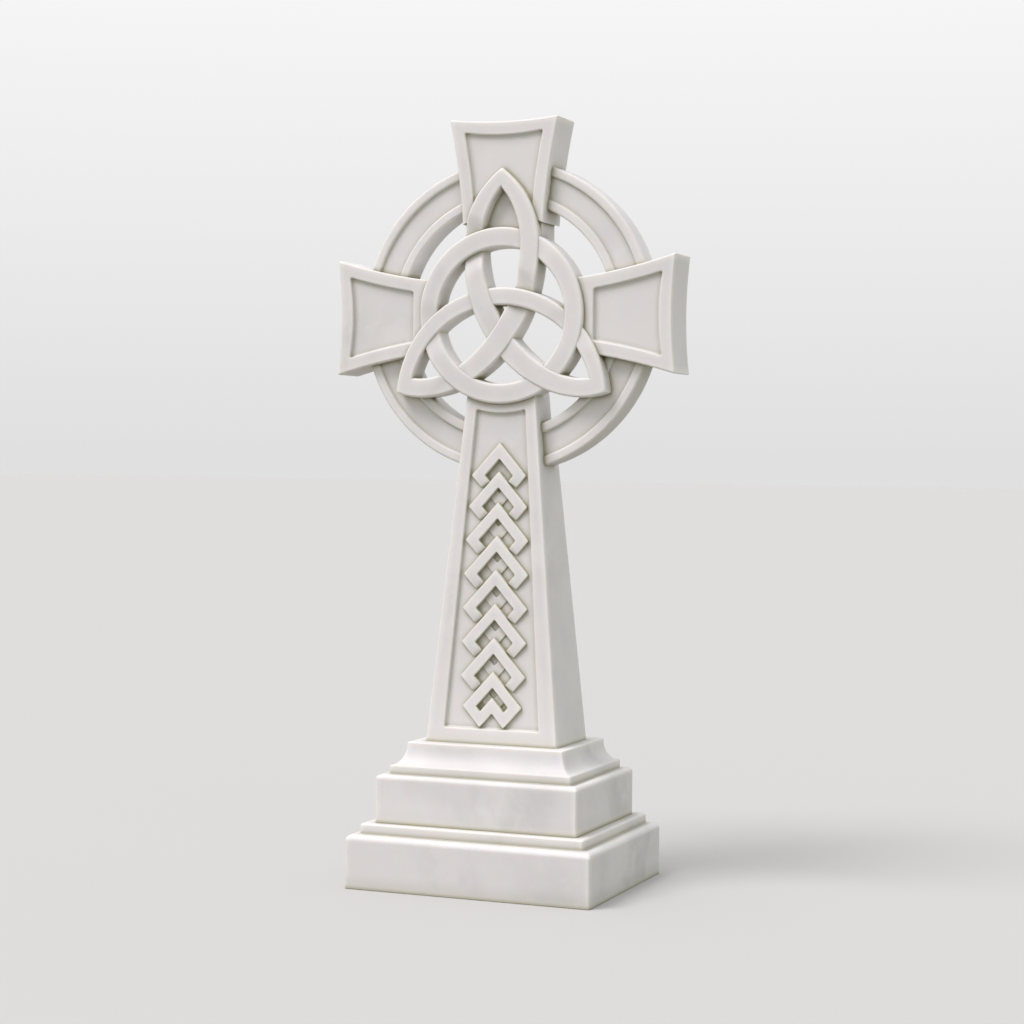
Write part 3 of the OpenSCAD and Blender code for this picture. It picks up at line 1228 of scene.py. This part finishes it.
@dataclass
class Strand:
    """One strand of the knot between two edges, dipping where it goes under.

    The dip is full up to "near" from the crossing and gone at "far". A rounding is
    drawn out where the section lies on the slant, and most at the mitred stations.
    """

    name: str
    head: Head
    outer: Outline
    inner: Outline
    unders: list[Under]
    mitres: tuple[int, ...] = ()
    closed: bool = False
    proud: float = 10.0
    thick: float = 48.0
    edge: float = 5.0
    most_stretch: float = 1.9
    near: float = 16.0
    far: float = 60.0
    steps: int = 4

    def depth_at(self, station: int, middle: Vector) -> float:
        """Return how far the front is sunk at a station, given the strand's middle there."""
        sunk = 0.0
        for under in self.unders:
            if under.first <= station <= under.last:
                away = (middle - Vector(under.place)).length
                sunk = max(sunk, under.sunk * smooth_step((self.far - away) / (self.far - self.near)))
        return sunk

    def section(self, width: float, stretch: Point, sunk: float) -> list[Point]:
        """Return the rounded section at one place.

        Args:
            width: Width across the strand.
            stretch: How much wider the rounding is drawn at each edge, on the slant.
            sunk: How far the front is sunk.

        Returns:
            Points as (distance from the inner edge, Y).
        """
        front = self.head.front - self.proud
        top, back = front + sunk, front + self.thick
        angles = [math.pi / 2.0 * k / self.steps for k in range(self.steps + 1)]
        first, second = (
            [(self.edge * drawn * (1.0 - math.cos(a)), top + self.edge * (1.0 - math.sin(a))) for a in angles]
            for drawn in stretch
        )
        return [*first, *((width - x, y) for x, y in reversed(second)), (width, back), (0.0, back)]

    def build(self) -> bpy.types.Object:
        """Build the strand.

        Returns:
            The closed strand.
        """
        rings = []
        for i, (outer, inner) in enumerate(zip(map(Vector, self.outer), map(Vector, self.inner))):
            across = outer - inner
            width = across.length
            across.normalize()
            stretch = tuple(self.slant(edge, i, across) for edge in (self.inner, self.outer))
            if i in self.mitres:
                stretch = (self.most_stretch, self.most_stretch)
            section = self.section(width, stretch, self.depth_at(i, (outer + inner) / 2.0))
            spots = [(inner + across * off, y) for off, y in section]
            rings.append([(spot.x, y, spot.y + self.head.centre_z) for spot, y in spots])
        return stacked(self.name, rings, self.closed)

    def slant(self, edge: Outline, i: int, across: Vector) -> float:
        """Return how much a rounding is drawn out where a section lies on the slant."""
        last = len(edge) - 1
        before = edge[i - 1] if self.closed or i > 0 else edge[0]
        after = edge[(i + 1) % len(edge)] if self.closed or i < last else edge[last]
        along = (Vector(after) - Vector(before)).normalized()
        squareness = abs(along.x * across.y - along.y * across.x)
        return 1.0 / max(squareness, 1.0 / self.most_stretch)


@dataclass(frozen=True)
class LegEdge:
    """One edge of the knot's leg, from the top tip by the right to the left tip.

    Attributes:
        top: Height of the top tip.
        reach: Widest place of the lobe.
        span: How far left the lower tip lies.
        drop: How far down it lies.
        turn_z: Height of the point that pulls the edge straight down.
        sweep: Share of the span that pulls the edge across.
        sag: Share of the drop that pulls the edge down.
        flare: Share of the reach at which the lobe is pulled out below its tip.
        shoulder: How far down from the tip that is, as a share.
        swell: How far up from its widest place the lobe is pulled, as a share.
    """

    top: float
    reach: float
    span: float
    drop: float
    turn_z: float
    sweep: float
    sag: float
    flare: float = 0.6
    shoulder: float = 0.24
    swell: float = 0.44

    def points(self, belly: float, steps: int) -> Outline:
        """Return the edge about the centre, given the height of the widest place."""
        lobe = [
            (0.0, self.top),
            (self.flare * self.reach, mix(self.top, belly, self.shoulder)),
            (self.reach, mix(belly, self.top, self.swell)),
            (self.reach, belly),
        ]
        fall = [
            (self.reach, belly),
            (self.reach, self.turn_z),
            (-self.sweep * self.span, -self.sag * self.drop),
            (-self.span, -self.drop),
        ]
        upper = [cubic(lobe, i / steps) for i in range(steps)]
        lower = [cubic(fall, i / (2 * steps)) for i in range(2 * steps + 1)]
        return upper + lower


@dataclass(frozen=True)
class Crossings:
    """Where middle lines cross: the right leg's with the others, and the crown's with the circle."""

    high: Point
    low: Point
    crown: Point
    leg: Point
    side: Point


@dataclass
class Knot:
    """The circle and the three-cornered knot, woven over and under."""

    head: Head
    outer: LegEdge = LegEdge(
        top=287.0, reach=80.0, span=221.0, drop=150.0, turn_z=-97.5, sweep=0.55, sag=1.28
    )
    inner: LegEdge = LegEdge(
        top=248.0, reach=40.0, span=185.0, drop=121.0, turn_z=0.0, sweep=0.43, sag=1.12
    )
    belly: float = 135.0
    crown_out: float = 55.0
    crown_in: float = 20.0
    deep: float = 8.5
    slight: float = 2.6
    circle_dip: float = 3.4
    circle_thick: float = 47.8
    recess_low: float = 150.0
    recess_sink: float = 8.0
    high_before: float = 1.6
    low_after: float = 2.2
    near_middle: float = 10.0
    steps: int = 44

    def leg_edges(self) -> tuple[Outline, Outline]:
        """Return the outer and the inner edge of the leg."""
        return self.outer.points(self.belly, self.steps), self.inner.points(self.belly, self.steps)

    def crown_edge(self, leg: LegEdge, top: float) -> Outline:
        """Return one edge of the lower strand, from the left tip to the right tip."""
        rise = top + leg.drop
        radius = (leg.span * leg.span + rise * rise) / (2.0 * rise)
        sweep = math.acos(1.0 - rise / radius)
        n = 2 * self.steps
        angles = (mix(-sweep, sweep, i / n) for i in range(n + 1))
        return [(radius * math.sin(a), top - radius + radius * math.cos(a)) for a in angles]

    def recess(self) -> bpy.types.Object:
        """Build the tool that sinks the ground inside the upper lobe.

        Returns:
            A tool whose sides lie under the middle of the strands.
        """
        head = self.head
        right = [(x, z) for x, z in middle_line(*self.leg_edges())[: self.steps] if z > self.recess_low]
        right.append((right[-1][0], self.recess_low))
        outline = [(x, z + head.centre_z) for x, z in [*right, *map(flip, reversed(right[1:]))]]
        return point_outwards(slab("recess", outline, head.ground - SKIM, head.ground + self.recess_sink))

    def crossings(self, leg: Outline, crown: Outline) -> Crossings:
        """Find where the strands cross, from the middle lines of the right leg and the crown.

        The leg meets the circle twice: before "high_before" and after "low_after" times
        the steps of its upper lobe. Near the middle its way over the crown isn't sought.

        Args:
            leg: Middle line of the right leg.
            crown: Middle line of the crown.

        Returns:
            The crossings.
        """
        leg, crown = np.array(leg), np.array(crown)
        radius = (self.head.circle_outer + self.head.circle_inner) / 2.0
        off_circle = np.abs(np.linalg.norm(leg, axis=1) - radius)
        before, after = int(self.high_before * self.steps), int(self.low_after * self.steps)
        fall, right = leg[self.steps :], crown[len(crown) // 2 :]
        to_crown = np.linalg.norm(fall[:, None, :] - crown[None, :, :], axis=2).min(axis=1)
        to_crown[fall[:, 0] < self.near_middle] = math.inf
        places = {
            "high": leg[np.argmin(off_circle[:before])],
            "low": leg[after + np.argmin(off_circle[after:])],
            "crown": fall[np.argmin(to_crown)],
            "leg": fall[np.argmin(np.abs(fall[:, 0]))],
            "side": right[np.argmin(np.abs(np.linalg.norm(right, axis=1) - radius))],
        }
        return Crossings(**{name: (float(x), float(y)) for name, (x, y) in places.items()})

    def build(self) -> list[bpy.types.Object]:
        """Build the three strands: two that mirror one another, and the circle.

        Returns:
            The strands.
        """
        outer, inner = self.leg_edges()
        crown_out = self.crown_edge(self.outer, self.crown_out)
        crown_in = self.crown_edge(self.inner, self.crown_in)
        at = self.crossings(middle_line(outer, inner), middle_line(crown_out, crown_in))

        head, tip, half = self.head, len(outer) - 1, len(crown_out) // 2
        right_out, right_in = outer + crown_out[1 : half + 1], inner + crown_in[1 : half + 1]
        end, around = len(right_out) - 1, 4 * self.steps
        deep, slight = self.deep, self.slight
        on_crown = [Under(flip(at.crown), slight, tip, end), Under(at.side, slight, tip, end)]
        on_right = [Under(at.crown, deep, 0, tip), Under(at.low, slight, 0, tip), *on_crown]
        on_left = [Under(flip(at.high), deep, 0, tip), Under(at.leg, slight, 0, tip), *on_crown]
        on_circle = [
            Under(flip(at.side), self.circle_dip, 0, around),
            Under(at.high, slight, 0, around),
            Under(flip(at.low), slight, 0, around),
        ]
        left_out, left_in = [*map(flip, right_out)], [*map(flip, right_in)]
        circle_out, circle_in = circle(head.circle_outer, around), circle(head.circle_inner, around)
        strands = [
            Strand("right_strand", head, right_out, right_in, on_right, mitres=(0, tip)),
            Strand("left_strand", head, left_out, left_in, on_left, mitres=(0, tip)),
            Strand("circle", head, circle_out, circle_in, on_circle, closed=True, thick=self.circle_thick),
        ]
        return [strand.build() for strand in strands]


@dataclass
class Chain:
    """The chain of diamond links that hangs on the shaft's panel."""

    shaft: Shaft
    half: float = 68.0
    least: float = 50.0
    slope: float = 1.12
    pitch: float = 0.87
    strand: float = 21.0
    clear: float = 4.0
    trim: float = 1.5
    drop: float = 58.0
    raised: float = 7.0
    low: float = -1.0
    buried: float = 9.0
    pocket: float = 4.0
    pocket_step: float = 0.4
    pocket_lap: float = 3.0
    prong: float = 25.0
    edge: float = 2.2
    edge_steps: int = 2
    edge_angle: float = 40.0

    @property
    def strand_v(self) -> float:
        """Upright thickness of a strand."""
        return self.strand / math.cos(math.atan(self.slope))

    @property
    def tilt(self) -> float:
        """Angle by which the shaft's front leans back."""
        shaft = self.shaft
        return math.atan((shaft.foot_y - shaft.head.half_depth) / shaft.rise)

    def last_half(self, top: float) -> float:
        """Half width of a last link that would end on the lower border."""
        return ((top - self.shaft.border_low - self.trim) / self.slope + self.prong) / 2.0

    def rows(self) -> list[tuple[float, float]]:
        """Return (height of the top point, half width) of each link."""
        shaft = self.shaft
        top = (shaft.head.centre_z - shaft.foot_z - shaft.panel_top) / math.cos(self.tilt) - self.drop
        rows = []
        while True:
            side = top - self.half * self.slope
            half = min(self.half, shaft.panel_x(shaft.foot_z + side) - self.clear)
            following = top - self.pitch * half * self.slope
            if self.last_half(following) < self.least:
                rows.append((top, min(half, self.last_half(top))))
                return rows
            rows.append((top, half))
            top = following

    def unit_link(self) -> bpy.types.Object:
        """Build the link that is repeated, as directions, insets and lifts.

        Each station of its right side gives a direction from its middle and the lift of
        its front there: raised above, and sinking under the next link below.

        Returns:
            An object whose points carry "spoke", "inset" and "lift".
        """
        right = [
            (0.0, 1.0, self.raised),
            (0.5, 0.5, self.raised),
            (1.0, 0.0, self.raised),
            (0.84, -0.16, self.raised - 0.5),
            (0.66, -0.34, self.raised - 2.0),
            (0.58, -0.42, self.low),
            (0.3, -0.7, self.low),
            (0.0, -1.0, self.low),
        ]
        stations = right + [(-x, y, lift) for x, y, lift in right[-2:0:-1]]
        count = len(stations)
        spokes, insets, lifts = [], [], []
        for inset, below in ((0.0, False), (self.strand_v, False), (self.strand_v, True), (0.0, True)):
            for x, y, lift in stations:
                spokes.append((x, y, 0.0))
                insets.append(inset * MM)
                lifts.append((-self.buried if below else lift) * MM)
        middle = [(0.0, 0.0, 0.0)] * (4 * count)
        piece = add_object("unit_link", middle, [], band_faces(4, count, closed=True))
        mark_points(piece, "inset", insets)
        mark_points(piece, "lift", lifts)
        mark_points(piece, "spoke", spokes)
        return piece

    def repeated(self, finish: bpy.types.Material) -> bpy.types.Object:
        """Repeat the link down the panel.

        Args:
            finish: Material of the links.

        Returns:
            The links but the last, in the panel's own plane.
        """
        rows = self.rows()[:-1]
        piece = add_object("links", [(0.0, top, 0.0) for top, _ in rows], [], [])
        mark_points(piece, "place", [(0.0, top * MM, 0.0) for top, _ in rows])
        mark_points(piece, "half", [half * MM for _, half in rows])
        unit = self.unit_link()
        link_tree().apply(piece, {"Link": unit, "Slope": self.slope, "Material": finish})
        bpy.data.objects.remove(unit)
        return piece

    def diamond(self, top: float, half: float, inset: float) -> Outline:
        """Return a link's outline, moved in by an upright inset."""
        top, half = top - inset, half - inset / self.slope
        high = half * self.slope
        return [(0.0, top), (half, top - high), (0.0, top - 2.0 * high), (-half, top - high)]

    def heart(self, top: float, half: float, inset: float) -> Outline:
        """Return the last link's outline, which ends in two points, moved in by an upright inset."""
        top, half, prong = top - inset, half - inset / self.slope, self.prong
        side = top - half * self.slope
        point = side - (half - prong) * self.slope
        notch = point + prong * self.slope
        return [(0.0, top), (half, side), (prong, point), (0.0, notch), (-prong, point), (-half, side)]

    def upright(self) -> Matrix:
        """Return the placing that leans an upright piece back onto the panel."""
        shaft = self.shaft
        forward = shaft.foot_y - shaft.head.panel_sink / math.cos(self.tilt)
        foot = Vector((0.0, -forward * MM, shaft.foot_z * MM))
        return Matrix.Translation(foot) @ Matrix.Rotation(-self.tilt, 4, "X")

    def pockets(self) -> list[bpy.types.Object]:
        """Build the tools that sink the ground inside each link.

        Returns:
            One tool for each link; neighbours differ a little in depth.
        """
        rows = self.rows()
        inset = self.strand_v - self.pocket_lap
        tools = []
        for index, (top, half) in enumerate(rows):
            shape = self.heart if index == len(rows) - 1 else self.diamond
            deep = self.pocket + self.pocket_step * (index % 2)
            tool = slab(f"pocket_{index}", shape(top, half, inset), -SKIM, deep)
            tool.data.transform(self.upright())
            tools.append(point_outwards(tool))
        return tools

    def last_link(self) -> bpy.types.Object:
        """Build the last link in the panel's own plane."""
        top, half = self.rows()[-1]
        outer, inner = (self.heart(top, half, inset) for inset in (0.0, self.strand_v))
        layers = [(outer, self.raised), (inner, self.raised), (inner, -self.buried), (outer, -self.buried)]
        rings = [[(x, y, lift) for x, y in points] for points, lift in layers]
        return stacked("last_link", rings, closed=True)

    def build(self, finish: bpy.types.Material) -> list[bpy.types.Object]:
        """Build the chain and lay it on the panel.

        Args:
            finish: Material of the links.

        Returns:
            The repeated links and the last one.
        """
        lay = self.upright() @ Matrix.Rotation(math.pi / 2.0, 4, "X")
        pieces = [*loose_parts(self.repeated(finish)), self.last_link()]
        for piece in pieces:
            piece.data.transform(lay)
            round_edges(point_outwards(piece), self.edge, self.edge_steps, self.edge_angle)
        return pieces


@dataclass
class Cross:
    """The carved stone: shaft, arms, ring, knot and chain in one."""

    head: Head
    shaft: Shaft
    side_root: float = 74.0
    side_end: float = 115.0
    side_low: float = 150.0
    side_panel: float = 190.0
    top_root: float = 84.0
    top_end: float = 114.0
    top_low: float = 160.0
    top_panel: float = 168.0
    neck_in: float = 4.0
    neck_low: float = 140.0
    neck_lap: float = 10.0
    neck_edge: float = 2.5

    def arms(self) -> list[bpy.types.Object]:
        """Build the three arms."""
        head = self.head
        side = {
            "reach": head.reach,
            "root_half": self.side_root,
            "end_half": self.side_end,
            "low": self.side_low,
            "panel_low": self.side_panel,
        }
        upper = {
            "reach": head.top_z - head.centre_z,
            "root_half": self.top_root,
            "end_half": self.top_end,
            "low": self.top_low,
            "panel_low": self.top_panel,
            "open_below": True,
        }
        arms = (("right_arm", -90.0, side), ("left_arm", 90.0, side), ("upper_arm", 0.0, upper))
        return [Arm(head, name, degrees, **sizes).build() for name, degrees, sizes in arms]

    def neck(self) -> bpy.types.Object:
        """Build the thin neck between the knot and the upper arm."""
        head, half = self.head, self.top_root - self.neck_in
        low, high = head.centre_z + self.neck_low, head.centre_z + head.hub_step + self.neck_lap
        corners = [(-half, low), (half, low), (half, high), (-half, high)]
        return round_edges(slab("neck", corners, head.ground, head.ring_half), self.neck_edge)

    def build(self, finish: bpy.types.Material) -> bpy.types.Object:
        """Build all parts and unite them.

        Args:
            finish: Material of the stone.

        Returns:
            The carved stone.
        """
        chain, knot = Chain(self.shaft), Knot(self.head)
        stone = self.shaft.build()
        for pocket in chain.pockets():
            combine(stone, pocket, Operation.CUT)
        unite_all(stone, [*self.arms(), self.neck(), Ring(self.head).build(finish)])
        combine(stone, knot.recess(), Operation.CUT)
        unite_all(stone, [*knot.build(), *chain.build(finish)])
        stone.name = "carved_cross"
        return stone


# ------------------------------------------------------------ floor and light


@dataclass(frozen=True)
class Studio:
    """Floor, lights and camera; lengths are in metres and angles in degrees."""

    floor_half: float = 60.0
    floor_colour: Colour = (0.59, 0.59, 0.59)
    floor_bounce: Colour = (0.28, 0.275, 0.235)
    floor_roughness: float = 0.9
    shade_light: Colour = (0.75, 0.752, 0.74)
    horizon: float = 0.745
    zenith: float = 0.97
    zenith_at: float = 0.25
    key_colour: Colour = (1.0, 0.93, 0.95)
    key_strength: float = 1.85
    key_from: tuple[float, float, float] = (-0.34, -0.43, 0.83)
    key_spread: float = 28.0
    lens: float = 79.9
    film: float = 36.0
    yaw: float = 21.98
    pitch: float = -1.47
    roll: float = 0.55
    camera_place: tuple[float, float, float] = (1.684, -4.155, 0.846)

    def floor(self) -> None:
        """Lay a plain pale floor, which looks paler than the light that it throws back."""
        half = self.floor_half / MM
        corners = [(-half, -half, 0.0), (half, -half, 0.0), (half, half, 0.0), (-half, half, 0.0)]
        floor = add_object("floor", corners, [], [(0, 1, 2, 3)])
        paint = bpy.data.materials.new("pale_floor")
        paint.use_nodes = True
        graph = ShaderGraph(paint.node_tree)
        surface = paint.node_tree.nodes["Principled BSDF"]
        surface.inputs["Roughness"].default_value = self.floor_roughness
        seen = graph.put("ShaderNodeLightPath", {}, "Is Camera Ray")
        graph.link(graph.blend(seen, self.floor_bounce, self.floor_colour), surface.inputs["Base Color"])
        floor.data.materials.append(paint)

    def world(self) -> None:
        """Fill the studio with soft even light before a pale wall."""
        world = bpy.data.worlds.new("studio")
        world.use_nodes = True
        graph = ShaderGraph(world.node_tree)
        light, out = world.node_tree.nodes["Background"], world.node_tree.nodes["World Output"]
        light.inputs["Color"].default_value = (*self.shade_light, 1.0)
        towards = graph.put("ShaderNodeTexCoord", {}, "Generated")
        height = graph.put("ShaderNodeSeparateXYZ", {"Vector": towards}, "Z")
        shade = graph.spread(height, (0.0, self.zenith_at), (self.horizon, self.zenith))
        wall = graph.put("ShaderNodeBackground", {"Color": (1.0, 1.0, 1.0, 1.0), "Strength": shade})
        seen = graph.put("ShaderNodeLightPath", {}, "Is Camera Ray")
        either = graph.put("ShaderNodeMixShader", {0: seen, 1: light.outputs["Background"], 2: wall})
        graph.link(either, out.inputs["Surface"])
        bpy.context.scene.world = world

    def key(self) -> None:
        """Hang one broad soft light high at the left front."""
        data = bpy.data.lights.new("key", "SUN")
        data.energy = self.key_strength
        data.color = self.key_colour
        data.angle = math.radians(self.key_spread)
        lamp = bpy.data.objects.new("key", data)
        lamp.rotation_euler = Vector(self.key_from).to_track_quat("Z", "Y").to_euler()
        bpy.context.scene.collection.objects.link(lamp)

    def camera(self) -> None:
        """Set the camera."""
        yaw, pitch, roll = (math.radians(a) for a in (self.yaw, self.pitch, self.roll))
        ahead = Vector((-math.sin(yaw) * math.cos(pitch), math.cos(yaw) * math.cos(pitch), math.sin(pitch)))
        level = Vector((math.cos(yaw), math.sin(yaw), 0.0))
        upright = level.cross(ahead)
        right = math.cos(roll) * level + math.sin(roll) * upright
        up = -math.sin(roll) * level + math.cos(roll) * upright
        data = bpy.data.cameras.new("camera")
        data.lens = self.lens
        data.sensor_width = self.film
        camera = bpy.data.objects.new("camera", data)
        turned = Matrix((right, up, -ahead)).transposed().to_4x4()
        camera.matrix_world = Matrix.Translation(Vector(self.camera_place)) @ turned
        bpy.context.scene.collection.objects.link(camera)
        bpy.context.scene.camera = camera

    def build(self) -> None:
        """Build the whole studio."""
        self.floor()
        self.world()
        self.key()
        self.camera()
        bpy.context.scene.view_settings.view_transform = "Standard"


def main() -> None:
    """Build the stones and the studio, in order."""
    logging.basicConfig(level=logging.INFO, format="%(name)s: %(message)s")
    Studio().build()
    carved, courses = CARVED.build(), COURSES.build()
    deliver(lower_course().build(), courses, "lower_plinth")
    deliver(upper_course().build(), courses, "upper_plinth")

    low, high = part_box("cross")
    head = Head(centre_z=high.z / MM - CENTRE_BELOW_TOP, top_z=high.z / MM, reach=high.x / MM)
    shaft = Shaft(head, foot_z=low.z / MM, foot_x=SHAFT_FOOT_HALF, foot_y=high.y / MM)
    deliver(Cross(head, shaft).build(carved), carved, "cross")


if __name__ == "__main__":
    main()
